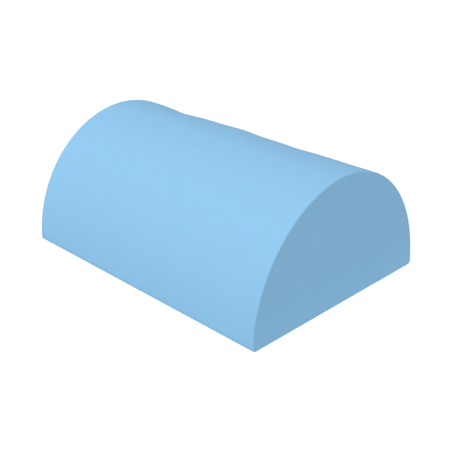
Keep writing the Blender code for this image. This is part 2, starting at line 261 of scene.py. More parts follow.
def make_foam_finish():
    """Cream foam: open cells with painted shade darkening their pits, a cloudy tone, and faint
    lines of the hot wire.
    """
    finish, tree, shader = new_finish(
        "open_cell_foam", (0.80, 0.73, 0.54), 0.95, Specular_IOR_Level=0.2, Sheen_Weight=0.1
    )
    place = own_place(tree)
    cells, small = (
        result_of(tree, "ShaderNodeTexVoronoi", {"Vector": place, "Scale": scale}, "Distance")
        for scale in (1 / foam_cell, 2.6 / foam_cell)
    )
    lines = {"Vector": place, "Scale": 70, "Distortion": 3, "Detail": 2, "Detail Scale": 0.4}
    wire = result_of(tree, "ShaderNodeTexWave", lines, "Fac", bands_direction="X")
    pits = weighed(tree, (cells, 0.6), (small, 0.4))
    cloud = grain(tree, place, 22, 3)
    # The colour is partly painted shade, darker in the cell pits where the bump is low, and partly
    # a random cloudy tone.
    shade = weighed(tree, (pits, 0.55), (cloud, 0.45))
    tint(tree, shader, shade, (0.66, 0.58, 0.39), (0.90, 0.84, 0.66))
    dullness(tree, shader, pits, 0.88, 1.0)
    relief(tree, shader, weighed(tree, (pits, 1), (wire, 0.15)), 0.6, 0.0006)
    return finish


def dress(piece, finish, node):
    """The finish, body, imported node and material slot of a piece."""
    piece.data.materials.append(finish)
    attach(piece, "cushion")
    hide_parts(node)


foam_reach = half_length - foam_inset
foam = new_piece(
    "foam_block", half_round("foam_block", foam_inset, foam_reach, foam_eased_edge, foam_step)
)
dress(foam, make_foam_finish(), "foam_core")


# ---------------- liner
# Thin spun-bonded cloth, sewn into a close bag round the foam so that the cover slides on easily.
# A wrap goes round the block and meets itself under the base, and a cap closes each end.

liner_inset = 0.0032
liner_thickness = 0.0005
liner_bond_pitch = 0.0016
liner_ripple = 0.00012
cap_set = 0.00002
seam_gap = 0.00004
liner_join = girth - 0.060
both_ends = (("left", -1), ("right", 1))


def woven_mesh(name, outer, inner, cut, wrap=False, poles=None, flip=False, kept=None):
    """A cloth with two faces and a rim, from grids of its outer and inner points.

    cut is the grid of places on the flat cloth, in metres, kept as the UV map. wrap joins the
    last column to the first, poles are the two points and the place in which the last row ends,
    and kept says which cells of the grid are cloth.
    """
    rows, columns = outer.shape[:2]
    points = [outer.reshape(-1, 3), inner.reshape(-1, 3)]
    places = cut.reshape(-1, 2)
    if poles:
        points = [np.vstack((layer, pole)) for layer, pole in zip(points, poles)]
        places = np.vstack((places, poles[2]))
    cells = []
    for r in range(rows - 1):
        for c in range(columns if wrap else columns - 1):
            if kept is None or kept[r, c]:
                d = (c + 1) % columns
                low, high = r * columns, (r + 1) * columns
                cells.append((low + c, high + c, high + d, low + d))
    if poles:
        last = (rows - 1) * columns
        for c in range(columns):
            cells.append((last + c, rows * columns, last + (c + 1) % columns))
    used = sorted({corner for cell in cells for corner in cell})
    number = {corner: i for i, corner in enumerate(used)}
    cells = [tuple(number[corner] for corner in cell) for cell in cells]
    points = np.concatenate([layer[used] for layer in points])
    places = np.concatenate((places[used], places[used]))
    layer = len(used)
    sides = {side for cell in cells for side in zip(cell, cell[1:] + cell[:1])}
    faces = cells + [tuple(layer + corner for corner in reversed(cell)) for cell in cells]
    for a, b in sorted(sides):
        if (b, a) not in sides:
            faces.append((b, a, layer + a, layer + b))
    if flip:
        faces = [tuple(reversed(face)) for face in faces]
    mesh = bpy.data.meshes.new(name)
    mesh.from_pydata(points.tolist(), [], faces)
    corner_of = np.empty(len(mesh.loops), np.int32)
    mesh.loops.foreach_get("vertex_index", corner_of)
    cloth_map = mesh.uv_layers.new(name="cloth")
    cloth_map.data.foreach_set("uv", places[corner_of].astype(np.float32).ravel())
    mesh.shade_smooth()
    mesh.set_sharp_from_angle(angle=radians(50))
    return mesh


def cut_place(tree):
    """Place on the flat cloth, in metres: the vector, and its two numbers apart."""
    vector = result_of(tree, "ShaderNodeUVMap", uv_map="cloth")
    parts = add_node(tree, "ShaderNodeSeparateXYZ", {"Vector": vector})
    return vector, parts.outputs["X"], parts.outputs["Y"]


def ripple(tree, distance, pitch):
    """A wave from -1 to 1 that repeats at this pitch."""
    return maths(tree, "SINE", times(tree, distance, tau / pitch))


def make_liner_finish():
    """Off-white cloth: felted fibres, pressed flat at a diamond grid of small points."""
    finish, tree, shader = new_finish(
        "spun_bonded_cloth", (0.80, 0.81, 0.80), 0.9, Sheen_Weight=0.15
    )
    vector, u, v = cut_place(tree)
    one = ripple(tree, maths(tree, "ADD", u, v), liner_bond_pitch)
    other = ripple(tree, maths(tree, "SUBTRACT", u, v), liner_bond_pitch)
    points = {"Value": times(tree, one, other), "From Min": 0.35, "From Max": 0.8}
    pressed = result_of(tree, "ShaderNodeMapRange", points)
    fibres = grain(tree, vector, 1500, 4, 0.7)
    cloud = grain(tree, vector, 60, 3)
    shade = weighed(tree, (cloud, 0.5), (fibres, 0.5))
    tint(tree, shader, shade, (0.70, 0.71, 0.70), (0.88, 0.89, 0.88))
    dullness(tree, shader, pressed, 0.92, 0.62)
    relief(tree, shader, weighed(tree, (fibres, 0.5), (pressed, -0.6)), 0.5, 0.00025)
    return finish


def slack_liner(x, along):
    """Small soft ripples of a liner that is a little loose on its block."""
    broad = np.sin(tau * (x / 0.083 + along / 0.31))
    return liner_ripple * (broad + 0.6 * np.sin(tau * (x / 0.047 - along / 0.19 + 0.3)))


liner_finish = make_liner_finish()
liner_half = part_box("liner_sleeve")[1].x
liner_x, liner_along = np.meshgrid(
    steps(-liner_half, liner_half, 0.006),
    steps(liner_join + seam_gap, liner_join + girth - seam_gap, 0.005),
)


def liner_layer(depth):
    y, z = section(liner_along, liner_inset + depth - slack_liner(liner_x, liner_along))
    return np.dstack((liner_x, y, z))


liner_faces = (liner_layer(0), liner_layer(liner_thickness))
liner_flat = np.dstack((liner_x, liner_along))
liner_wrap = new_piece("liner_wrap", woven_mesh("liner_wrap", *liner_faces, liner_flat))
dress(liner_wrap, liner_finish, "liner_sleeve")


for side, sign in both_ends:
    face_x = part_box("liner_end_right")[1].x - cap_set
    sizes, cap_along = np.meshgrid(
        steps(1, 0, 0.05)[:-1], steps(0, girth, 0.006)[:-1], indexing="ij"
    )
    cap_y, cap_z = shrunk(*section(cap_along, liner_inset), sizes)
    faces_x = [np.full_like(cap_y, sign * (face_x - depth)) for depth in (0, liner_thickness)]
    pole = (0.0, end_middle)
    cap = new_piece(
        "liner_cap_" + side,
        woven_mesh(
            "liner_cap_" + side,
            np.dstack((faces_x[0], cap_y, cap_z)),
            np.dstack((faces_x[1], cap_y, cap_z)),
            np.dstack((cap_y, cap_z)),
            wrap=True,
            poles=((sign * face_x, *pole), (sign * (face_x - liner_thickness), *pole), pole),
            flip=sign > 0,
        ),
    )
    dress(cap, liner_finish, "liner_end_" + side)


# ---------------- cover: how the sewn cloth lies
# The cover is a short-pile knit, a millimetre thick, cut as four panels and sewn inside out, so
# each seam is a fine line outside. The foam holds it taut. It gives a little between its seams,
# gathers slightly beside them, and lies in shallow waves over the rear shoulder.

cover_thickness = 0.0010
cover_roll = 0.0014
cover_give = 0.0006
allowance_height = 0.0007
allowance_reach = 0.015
foot_spread = 0.0011
foot_height = 0.020
seam_shoulder = 0.00045
seam_depth = 0.00022
pucker_height = 0.00007
pucker_reach = 0.0030
short_pucker = 0.0123
long_pucker = 0.0191
zip_height = 0.022
window_half_height = 0.0047
window_half_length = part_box("zip_topstitch_upper")[1].x
topstitch_from_zip = 0.0071
front_seam_turn = radians(225)

zip_turn = wall_angle(zip_height)
zip_seam = along_at(zip_turn)
front_seam = along_at(front_seam_turn)
roll_start = half_length - cover_roll
seam_on_roll = pi / 4
end_seam = roll_start + cover_roll * seam_on_roll
edge_arc = along_at(wall_angle(lower_edge_radius))
base_flat = girth - along_at(1.5 * pi)
form_inset = 0.0015
form_roll = 0.002
form_cell = 0.006
form_moments = 20
give_reach = 0.008
give_neighbours = 10
panel_step = 0.0028
edge_step = 0.0008


def bell(value, middle, width):
    """A smooth hump: 1 at its middle, and nearly gone two widths away."""
    return np.exp(-(((value - middle) / width) ** 2))


def cloth_give():
    """Presses the closed cover out with air, held at its seams and base.

    Gives the form's points and their outward moves, scaled so that the largest is cover_give.
    """
    block = half_round("cover_form", form_inset, half_length - form_inset, form_roll, form_cell)
    form = new_piece("cover_form", block)
    even = form.modifiers.new("even_faces", "REMESH")
    even.mode = "VOXEL"
    even.voxel_size = form_cell
    graph = bpy.context.evaluated_depsgraph_get()
    even_mesh = bpy.data.meshes.new_from_object(form.evaluated_get(graph))
    form.modifiers.clear()
    form.data = even_mesh
    rest = np.empty(len(even_mesh.vertices) * 3)
    even_mesh.vertices.foreach_get("co", rest)
    rest = rest.reshape(-1, 3)
    facing = np.array([v.normal for v in even_mesh.vertices])
    low_seam = 0.004
    held = (np.abs(rest[:, 0]) > half_length - form_cell) & (np.abs(facing[:, 0]) < 0.97)
    held |= rest[:, 2] < low_seam
    group = form.vertex_groups.new(name="sewn_or_resting")
    group.add(np.nonzero(held)[0].tolist(), 1.0, "REPLACE")
    cloth = form.modifiers.new("cloth", "CLOTH")
    knit = cloth.settings
    knit.quality = 5
    knit.mass = 0.3
    knit.tension_stiffness = 40
    knit.compression_stiffness = 40
    knit.bending_stiffness = 4
    knit.vertex_group_mass = group.name
    knit.use_pressure = True
    knit.uniform_pressure_force = 4
    knit.effector_weights.gravity = 0
    cloth.collision_settings.use_collision = False
    scene = bpy.context.scene
    for moment in range(1, form_moments + 1):
        scene.frame_set(moment)
    moved = np.empty(len(rest) * 3)
    graph = bpy.context.evaluated_depsgraph_get()
    form.evaluated_get(graph).data.vertices.foreach_get("co", moved)
    out = np.einsum("ij,ij->i", moved.reshape(-1, 3) - rest, facing)
    form.modifiers.clear()
    scene.frame_set(1)
    bpy.data.objects.remove(form)
    out = np.clip(out, 0, None)
    out[held] = 0
    return rest, out * cover_give / max(float(np.percentile(out, 99)), 1e-6)


def give_lookup():
    """A function from a grid of points to how far the cloth stands out there."""
    rest, out = cloth_give()
    tree = kdtree.KDTree(len(rest))
    for i, point in enumerate(rest):
        tree.insert(point, i)
    tree.balance()

    def give(points):
        found = np.empty(points.shape[:2])
        for place in np.ndindex(found.shape):
            near = tree.find_n(points[place], give_neighbours)
            weights = [bell(distance, 0, give_reach) for _, _, distance in near]
            found[place] = sum(w * out[i] for w, (_, i, _) in zip(weights, near)) / sum(weights)
        return np.minimum(found, cover_give)

    return give


give_at = give_lookup()


def smooth_step(value, low, high):
    share = np.clip((value - low) / (high - low), 0, 1)
    return share * share * (3 - 2 * share)


# Each wave of slack: where it is along X, how far it stands out or dips, and its half width.
slack_waves = (
    (-0.177, 0.0003, 0.020),
    (-0.131, -0.0021, 0.032),
    (-0.020, 0.0010, 0.021),
    (0.028, -0.0003, 0.020),
    (0.077, -0.0009, 0.024),
)
slack_rise = 0.0005
slack_from_ends = 0.020
slack_grows = (radians(14), radians(60))
slack_goes = (radians(68), radians(88))


def slack(x, turn):
    """Height of the shallow waves over the rear shoulder, gone before the crown and at the zip."""
    wave = slack_rise + sum(rise * bell(x, place, width) for place, rise, width in slack_waves)
    rear = smooth_step(turn, *slack_grows) * (1 - smooth_step(turn, *slack_goes))
    inside = 1 - smooth_step(np.abs(x), roll_start - slack_from_ends, roll_start)
    return wave * rear * inside


def pucker(from_seam, beside, seed):
    """Small gathers beside a seam: none at the thread, most a few millimetres off, then gone."""
    share = np.clip(from_seam, 0, None) / pucker_reach
    short = np.sin(tau * (beside / short_pucker + seed))
    wave = short + 0.7 * np.sin(tau * (beside / long_pucker + 0.37 * seed))
    return pucker_height * wave * share * np.exp(1 - share)


def over_allowance(skin, turn, from_end_seam, wraps):
    """The skin, moved by the end seams' folded allowances: off the foam, but outwards at the foot.

    wraps says that the panel goes round the section, so that only its ends move.
    """
    near = bell(np.clip(from_end_seam, 0, None), 0, allowance_reach)
    low = bell(skin[..., 2], 0, foot_height)
    lift = allowance_height * (1 - low) * near
    spread = np.sign(skin[..., 0]) * foot_spread * low * (near if wraps else 1)
    return skin + np.dstack((spread, lift * np.cos(turn), lift * np.sin(turn)))


def shoulder(from_edge, depth=seam_depth, width=seam_shoulder):
    """How far the cloth's edge turns in as it goes down into a seam."""
    share = np.clip(from_edge / width, 0, 1)
    return depth * (1 - share) ** 2


def outward(side, turned, turn):
    """The skin's outward direction, turned this far towards the end on this side."""
    across = np.cos(turned)
    return np.dstack((side * np.sin(turned), across * np.cos(turn), across * np.sin(turn)))


def column_places():
    """Distances along the cloth from the middle, closer at the zip's ends and over the roll."""
    seam = end_seam - seam_gap
    half = np.r_[
        steps(0, window_half_length - 0.0020, 0.0026),
        window_half_length + np.array([-0.0012, -0.0006, 0, 0.0001, 0.00025, 0.0006, 0.0012]),
        steps(window_half_length + 0.0030, roll_start, 0.0022),
        np.linspace(roll_start, seam - seam_shoulder, 4)[1:],
        seam - seam_shoulder / 2,
        seam,
    ]
    return np.r_[-half[:0:-1], half]


columns = column_places()


def rows_from_zip(last):
    """Distances from the zip's centre line, close together over the hem and its stitching."""
    beside_seam = [seam_gap / 2, seam_shoulder / 2, seam_shoulder, 0.0012, 0.0022, 0.0034, 0.0042]
    over_hem = [0, 0.1, 0.25, 0.5, 0.9, 1.4, 1.8, 2.1, 2.4, 2.7, 3.0, 3.5, 4.3, 5.5, 7.0, 9.0]
    near = np.r_[beside_seam, window_half_height + 0.001 * np.array(over_hem)]
    return np.r_[near, steps(near[-1] + 0.0026, last, panel_step)]


def cloth_panel(name, from_zip, along_from, extra_out):
    """A panel round the section, its two ends rolled over to the seams of the end panels.

    from_zip is each row's distance from the zip's centre line, along_from turns that distance into
    one along the section, and extra_out gives what is added to the skin's own shape there. The
    zip's window is left out, its edge turned in all round.
    """
    x_along, distance = np.meshgrid(columns, from_zip)
    along = along_from(distance)
    turned = np.clip((np.abs(x_along) - roll_start) / cover_roll, 0, None)
    x = np.sign(x_along) * (np.minimum(np.abs(x_along), roll_start) + cover_roll * np.sin(turned))
    turn = normal_at(along)
    normal = outward(np.sign(x_along), turned, turn)
    skin = np.dstack((x, *section(along, cover_roll * (1 - np.cos(turned)))))
    from_end = end_seam - seam_gap - np.abs(x_along)
    skin = over_allowance(skin, turn, from_end, True)
    from_window = np.hypot(
        np.clip(np.abs(x_along) - window_half_length, 0, None),
        np.clip(distance - window_half_height, 0, None),
    )
    out = extra_out(x_along, along, distance) + give_at(skin) + hem(distance, x_along)
    out += pucker(from_end, along, 0.2 * np.sign(x_along))
    turned_in = shoulder(from_end) + shoulder(from_window, 0.00050, 0.0006)
    turned_in += shoulder(distance - seam_gap / 2)
    turned_in += shoulder(np.abs(along - front_seam) - seam_gap / 2)
    outer = skin + normal * (out - turned_in)[..., None]
    inner = skin + normal * (out - cover_thickness)[..., None]
    outer[..., 2] = np.maximum(outer[..., 2], 0)
    middle_x = np.abs(x_along[:-1, :-1] + x_along[1:, 1:]) / 2
    middle_distance = (distance[:-1, :-1] + distance[1:, 1:]) / 2
    kept = (middle_x > window_half_length) | (middle_distance > window_half_height)
    turned_over = bool(along[0, 0] > along[-1, 0])
    flat = np.dstack((x_along, along))
    return woven_mesh(name, outer, inner, flat, flip=turned_over, kept=kept)


# How far the hem rises, how far the cloth beyond it does, and how deep the stitching draws both,
# in millimetres.
hem_rise = 0.16
hem_rise_beyond = 0.07
hem_groove = 0.24


def hem(distance, x):
    """Rise of the folded hem: full behind its rounded edge, drawn down by the topstitching."""
    inside = 1 - smooth_step(np.abs(x), window_half_length - 0.002, window_half_length + 0.001)
    at, edge, stitch = (1000 * d for d in (distance, window_half_height, topstitch_from_zip))
    full = hem_rise * bell(at, (edge + stitch) / 2, 0.75)
    beyond = hem_rise_beyond * bell(at - stitch, 1.6, 1.0)
    groove = hem_groove * bell(at - stitch, 0, 0.45)
    drag = 1 + 0.25 * np.sin(tau * x / 0.0129) + 0.15 * np.sin(tau * x / 0.0211)
    return 0.001 * inside * (full * drag + beyond - groove)


def beside_window(x):
    """1 past the ends of the zip's window, where its two edges are sewn to each other, else 0."""
    return smooth_step(np.abs(x), window_half_length, window_half_length + 0.004)


# ---------------- cover: cloth and its finish
# Light blue knit with a brushed face: fine wales and courses under a short soft pile, matt, with a
# little sheen at a low angle. The same cloth makes all four panels.

wale_pitch = 0.00085
course_pitch = 0.00062


def make_cover_finish():
    finish, tree, shader = new_finish(
        "brushed_blue_knit",
        (0.203, 0.4095, 0.6075),
        0.9,
        Specular_IOR_Level=0.15,
        Sheen_Weight=0.04,
        Sheen_Roughness=0.5,
        Sheen_Tint=(0.75, 0.88, 1.0, 1),
    )
    vector, u, v = cut_place(tree)
    wales = maths(tree, "ABSOLUTE", ripple(tree, u, 2 * wale_pitch))
    courses = ripple(tree, weighed(tree, (v, 1), (wales, 0.45 * course_pitch)), course_pitch)
    pile = grain(tree, vector, 2600, 3, 0.65)
    nap = grain(tree, vector, 34, 2, 0.5)
    loops = weighed(tree, (wales, 0.5), (courses, 0.16))
    relief(tree, shader, weighed(tree, (loops, 1), (pile, 0.55)), 0.30, 0.00016)
    shade = weighed(tree, (pile, 0.35), (loops, 0.25), (nap, 0.45))
    tint(tree, shader, shade, (0.1947, 0.3961, 0.5888), (0.2114, 0.4230, 0.6260))
    dullness(tree, shader, pile, 0.84, 0.97)
    return finish


cover_finish = make_cover_finish()


def dress_cover(piece, node):
    """Finish, body and hidden imported node of a cover panel."""
    dress(piece, cover_finish, node)


# ---------------- cover: curved panel
# The largest panel. It runs from the front lower edge over the top to the zip on the rear wall,
# where its edge is folded under and stitched down on the upper tape.


def curved_panel_out(x, along, distance):
    out = slack(x, normal_at(along)) + pucker(front_seam - along, x, 0.55)
    return out + beside_window(x) * pucker(distance, x, 0.8)


def make_curved_panel():
    girth_of_panel = front_seam - zip_seam
    to_front = girth_of_panel - np.array([0.0016, seam_shoulder, seam_shoulder / 2, seam_gap / 2])
    from_zip = np.r_[rows_from_zip(girth_of_panel - 0.0035), to_front]
    return cloth_panel("cover_top_cloth", from_zip, lambda d: zip_seam + d, curved_panel_out)


curved_panel = new_piece("cover_top_cloth", make_curved_panel())
dress_cover(
    curved_panel,
    "cover_curved_panel",
)


# ---------------- cover: base panel
# The flat panel that the cushion stands on. It turns up round both lower edges, to the front seam
# and to the zip, where it is hemmed like the curved panel and stitched down on the lower tape.


def base_panel_out(x, along, distance):
    standing = smooth_step(along - girth, 0.002, 0.010)
    return standing * beside_window(x) * pucker(distance, x, 0.1)


def make_base_panel():
    foot = zip_seam
    to_front = girth + zip_seam - front_seam
    from_zip = np.r_[
        rows_from_zip(foot - edge_arc),
        steps(foot - edge_arc, foot, edge_step)[1:],
        steps(foot + 0.003, foot + base_flat - 0.003, 0.006),
        steps(foot + base_flat, to_front - 0.0009, edge_step),
        to_front - np.array([seam_shoulder, seam_shoulder / 2, seam_gap / 2]),
    ]
    return cloth_panel(
        "cover_base_cloth", from_zip, lambda d: girth + zip_seam - d, base_panel_out
    )


base_panel = new_piece("cover_base_cloth", make_base_panel())
dress_cover(
    base_panel,
    "cover_base_panel",
)


# ---------------- cover: end panels
# A half-round of the same cloth closes each end. Its edge rolls over the foam's edge to the seam,
# and the foam keeps its face flat.


end_reach = 0.12


def make_end_panel(name, sign):
    front_foot = girth - base_flat
    around = np.r_[
        steps(0, edge_arc, edge_step),
        steps(edge_arc, front_foot - edge_arc, panel_step)[1:],
        steps(front_foot - edge_arc, front_foot, edge_step)[1:],
        steps(front_foot, girth, 0.0058)[1:-1],
    ]
    seam_turn = seam_on_roll + seam_gap / cover_roll
    edge_turns = seam_turn + np.array([0, seam_shoulder / 2, seam_shoulder]) / cover_roll
    rolling = np.r_[edge_turns, np.linspace(edge_turns[-1], pi / 2, 5)[1:]]
    sizes = np.r_[np.linspace(1, 0.88, 8)[1:], steps(0.85, 0.03, 0.035)]
    along, turned = np.meshgrid(around, np.r_[rolling, np.full(len(sizes), pi / 2)])
    size = np.meshgrid(around, np.r_[np.ones(len(rolling)), sizes])[1]
    turn = normal_at(along)
    y, z = shrunk(*section(along, cover_roll * (1 - np.cos(turned))), size)
    skin = np.dstack((sign * (roll_start + cover_roll * np.sin(turned)), y, z))
    normal = outward(sign, turned, turn)
    from_seam = cover_roll * (turned - seam_turn) + (1 - size) * end_reach
    skin = over_allowance(skin, turn, from_seam, False)
    out = give_at(skin) + pucker(from_seam, along, 0.4 * sign) - shoulder(from_seam)
    outer = skin + normal * out[..., None]
    inner = skin + normal * (out + shoulder(from_seam) - cover_thickness)[..., None]
    outer[..., 2] = np.maximum(outer[..., 2], 0)
    spread = cover_roll * (pi / 2 - turned)
    cut = np.dstack((y + spread * np.cos(turn), z + spread * np.sin(turn)))
    middle = (0.0, end_middle)
    pole_x = half_length + float(give_at(np.array([[[sign * half_length, *middle]]]))[0, 0])
    poles = ((sign * pole_x, *middle), (sign * (pole_x - cover_thickness), *middle), middle)
    return woven_mesh(name, outer, inner, cut, wrap=True, poles=poles, flip=sign > 0)


for side, sign in both_ends:
    name = "cover_end_cloth_" + side
    dress_cover(
        new_piece(name, make_end_panel(name, sign)),
        "cover_end_" + side,
    )


# ---------------- stitching
# Polyester thread, dyed to match. Every seam is a lockstitch of about 3 mm behind the fold. Two
# rows of topstitching hold the hems to the zip's tapes, and a dense bar closes each zip end.

thread_radius = 0.00022
stitch_pitch = 0.0032


def new_tree(name, inputs):
    """A Geometry Nodes tree with these inputs, given as name: (socket kind, default)."""
    tree = bpy.data.node_groups.new(name, "GeometryNodeTree")
    tree.interface.new_socket("Geometry", in_out="OUTPUT", socket_type="NodeSocketGeometry")
    for label, (kind, default) in inputs.items():
        socket = tree.interface.new_socket(label, in_out="INPUT", socket_type="NodeSocket" + kind)
        if default is not None:
            socket.default_value = default
    given = tree.nodes.new("NodeGroupInput")
    result = tree.nodes.new("NodeGroupOutput")
    return tree, given.outputs, result.inputs["Geometry"]


def close_tree(tree, geometry, material, result):
    """Realize Instances and Set Material, the end of every tree here."""
    smooth = result_of(tree, "GeometryNodeSetShadeSmooth", {"Geometry": geometry})
    real = result_of(tree, "GeometryNodeRealizeInstances", {"Geometry": smooth})
    dressed = {"Geometry": real, "Material": material}
    tree.links.new(result_of(tree, "GeometryNodeSetMaterial", dressed), result)


def point_at(tree, **places):
    """A vector from its X, Y and Z, each 0 if not given."""
    return result_of(tree, "ShaderNodeCombineXYZ", places)


def thread_along(tree, path, radius):
    """A round closed thread along a curve."""
    round_edge = {"Resolution": 6, "Radius": radius}
    ring = result_of(tree, "GeometryNodeCurvePrimitiveCircle", round_edge)
    parts = {"Curve": path, "Profile Curve": ring, "Fill Caps": True}
    return result_of(tree, "GeometryNodeCurveToMesh", parts)


def make_stitch_tree():
    """Stitches along a path. Each is a short arched thread that turns down into the cloth."""
    tree, given, result = new_tree(
        "stitch_row",
        {
            "Path": ("Geometry", None),
            "Pitch": ("Float", stitch_pitch),
            "Stitch Length": ("Float", 0.9 * stitch_pitch),
            "Thread Radius": ("Float", thread_radius),
            "Rise": ("Float", 0.0002),
            "Dip": ("Float", 0.0003),
            "Turn": ("Float", 0.0),
            "Thread": ("Material", None),
        },
    )
    line = result_of(tree, "GeometryNodeMeshToCurve", {"Mesh": given["Path"]})
    spaced = {"Curve": line, "Length": given["Pitch"]}
    even = result_of(tree, "GeometryNodeResampleCurve", spaced, mode="LENGTH")
    half = times(tree, given["Stitch Length"], 0.5)
    down = times(tree, given["Dip"], -1.0)
    bend = {
        "Resolution": 6,
        "Start": point_at(tree, X=times(tree, half, -1.0), Z=down),
        "Middle": point_at(tree, Z=weighed(tree, (given["Dip"], 1), (given["Rise"], 2))),
        "End": point_at(tree, X=half, Z=down),
    }
    arch = result_of(tree, "GeometryNodeCurveQuadraticBezier", bend)
    stitch = thread_along(tree, arch, given["Thread Radius"])
    align = "FunctionNodeAlignRotationToVector"
    tangent = result_of(tree, "GeometryNodeInputTangent")
    ahead = result_of(tree, align, {"Vector": tangent}, axis="X")
    out = result_of(
        tree, "GeometryNodeInputNamedAttribute", {"Name": "out"}, data_type="FLOAT_VECTOR"
    )
    facing = {"Rotation": ahead, "Vector": out}
    upright = result_of(tree, align, facing, axis="Z", pivot_axis="X")
    limits = {2: -0.05, 3: 0.05, "Seed": 7}
    chance = result_of(tree, "FunctionNodeRandomValue", limits, 1, data_type="FLOAT")
    slant = point_at(tree, Z=maths(tree, "ADD", given["Turn"], chance))
    slanting = result_of(tree, "FunctionNodeEulerToRotation", {"Euler": slant})
    both = {"Rotation": upright, "Rotate By": slanting}
    turned = result_of(tree, "FunctionNodeRotateRotation", both, rotation_space="LOCAL")
    sewn_in = {"Points": even, "Instance": stitch, "Rotation": turned}
    placed = result_of(tree, "GeometryNodeInstanceOnPoints", sewn_in)
    close_tree(tree, placed, given["Thread"], result)
    return tree


def grown(name, tree, values, source=None):
    """The tree's result as a plain mesh on a new piece, with no modifier left."""
    holder = new_piece(name + "_source", source or bpy.data.meshes.new(name + "_source"))
    modifier = holder.modifiers.new("nodes", "NODES")
    modifier.node_group = tree
    for item in tree.interface.items_tree:
        if item.in_out == "INPUT" and item.name in values:
            modifier[item.identifier] = values[item.name]
    graph = bpy.context.evaluated_depsgraph_get()
    mesh = bpy.data.meshes.new_from_object(holder.evaluated_get(graph))
    mesh.name = name
    holder.modifiers.remove(modifier)
    bpy.data.objects.remove(holder)
    return new_piece(name, mesh)


def path_mesh(points, out, closed=False):
    """A line of points, each with the direction that is out of the cloth there."""
    count = len(points)
    edges = [(i, i + 1) for i in range(count - 1)] + ([(count - 1, 0)] if closed else [])
    mesh = bpy.data.meshes.new("path")
    mesh.from_pydata([tuple(p) for p in points], edges, [])
    attribute = mesh.attributes.new("out", "FLOAT_VECTOR", "POINT")
    attribute.data.foreach_set("vector", np.asarray(out, np.float32).ravel())
    return mesh


def make_thread_finish():
    """Three-ply polyester thread: slanting plies, a soft lustre, and a slightly deeper blue."""
    finish, tree, shader = new_finish(
        "blue_sewing_thread", (0.190, 0.390, 0.595), 0.55, Sheen_Weight=0.1
    )
    place = own_place(tree)
    plies = {"Vector": place, "Scale": 800, "Distortion": 0.6, "Detail": 1, "Detail Scale": 2}
    ply = result_of(tree, "ShaderNodeTexWave", plies, "Fac", bands_direction="DIAGONAL")
    fluff = grain(tree, place, 5200, 2)
    shade = weighed(tree, (ply, 0.6), (fluff, 0.4))
    tint(tree, shader, shade, (0.150, 0.325, 0.510), (0.220, 0.440, 0.660))
    dullness(tree, shader, fluff, 0.45, 0.70)
    relief(tree, shader, shade, 0.5, 0.00010)
    return finish


stitch_tree = make_stitch_tree()
thread_finish = make_thread_finish()


def sewn(name, node, points, out, closed=False, **sizes):
    """A row of stitches that stands for a line of thread."""
    values = {"Thread": thread_finish}
    values.update({label.replace("_", " ").title(): value for label, value in sizes.items()})
    row = grown(name, stitch_tree, values, path_mesh(points, out, closed))
    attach(row, "cushion")
    if node:
        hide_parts(node)
    return row


behind_seam = 0.0013
thread_on_roll = cover_roll - behind_seam
inside_seam = {"rise": 0.0, "dip": 0.0001}
topstitch_inset = 0.00010
bar_pitch = 0.00036
bar_slant = 0.16
past_window = 0.0008


def sew_end_seams():
    """Round each end, just inside the fold of the seam."""
    around = steps(0, girth, 0.002)[:-1]
    turn = normal_at(around)
    y, z = section(around, cover_roll - thread_on_roll * cos(seam_on_roll))
    for side, sign in both_ends:
        x = sign * (roll_start + thread_on_roll * sin(seam_on_roll))
        points = [(x, b, c) for b, c in zip(y, z)]
        out = [
            (sign * sin(seam_on_roll), cos(seam_on_roll) * cos(t), cos(seam_on_roll) * sin(t))
            for t in turn
        ]
        name = "end_seam_stitches_" + side
        sewn(name, "seam_thread_end_" + side, points, out, closed=True, **inside_seam)


def sew_straight(name, node, along, inset, first, last, **sizes):
    """A straight row parallel to the cushion's length."""
    turn = float(normal_at(along))
    y, z = section(along, inset)
    points = [(x, float(y), float(z)) for x in steps(first, last, stitch_pitch)]
    sewn(name, node, points, [(0, cos(turn), sin(turn))] * len(points), **sizes)


sew_end_seams()
thread_inset = cover_thickness + behind_seam / 2
inner_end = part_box("seam_thread_rear_right")[0].x + stitch_pitch / 2
outer_end = roll_start - stitch_pitch / 2
sew_straight(
    "front_seam_stitches",
    "seam_thread_front_edge",
    front_seam,
    thread_inset,
    -outer_end,
    outer_end,
    **inside_seam,
)
for side, sign in both_ends:
    sew_straight(
        "rear_seam_stitches_" + side,
        "seam_thread_rear_" + side,
        zip_seam,
        thread_inset,
        sign * inner_end,
        sign * outer_end,
        **inside_seam,
    )
both_edges = (("upper", 1), ("lower", -1))
for side, sign in both_edges:
    reach = window_half_length - stitch_pitch / 2
    sew_straight(
        "zip_topstitches_" + side,
        "zip_topstitch_" + side,
        zip_seam + sign * topstitch_from_zip,
        topstitch_inset,
        -reach,
        reach,
        rise=0.00022,
        dip=0.00035,
    )


def sew_bartacks():
    """Dense bars of thread across both ends of the zip, each stitch lying along the cushion."""
    for side in ("left", "right"):
        low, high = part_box("zip_bartack_" + side)
        x = (low.x + high.x) / 2
        reach = window_half_height + past_window
        along = zip_seam + steps(-reach, reach, bar_pitch)
        turn = normal_at(along)
        y, z = section(along, -0.00012)
        points = [(x, b, c) for b, c in zip(y, z)]
        out = [(0, cos(t), sin(t)) for t in turn]
        sewn(
            "zip_bartack_stitches_" + side,
            "zip_bartack_" + side,
            points,
            out,
            pitch=bar_pitch,
            stitch_length=high.x - low.x,
            thread_radius=0.00017,
            rise=0.00020,
            dip=0.00035,
            turn=pi / 2 - bar_slant,
        )


sew_bartacks()


# ---------------- zip tapes
# Two woven polyester tapes, one above and one below the chain, sewn behind the hems. Each has a
# herringbone body and a thicker corded edge that the coil is sewn to.

tape_thickness = 0.0005
tape_inset = 0.0013
tape_first = 0.00075
tape_rib = 0.0009
cord_from_edge = 0.0008
cord_height = 0.00012


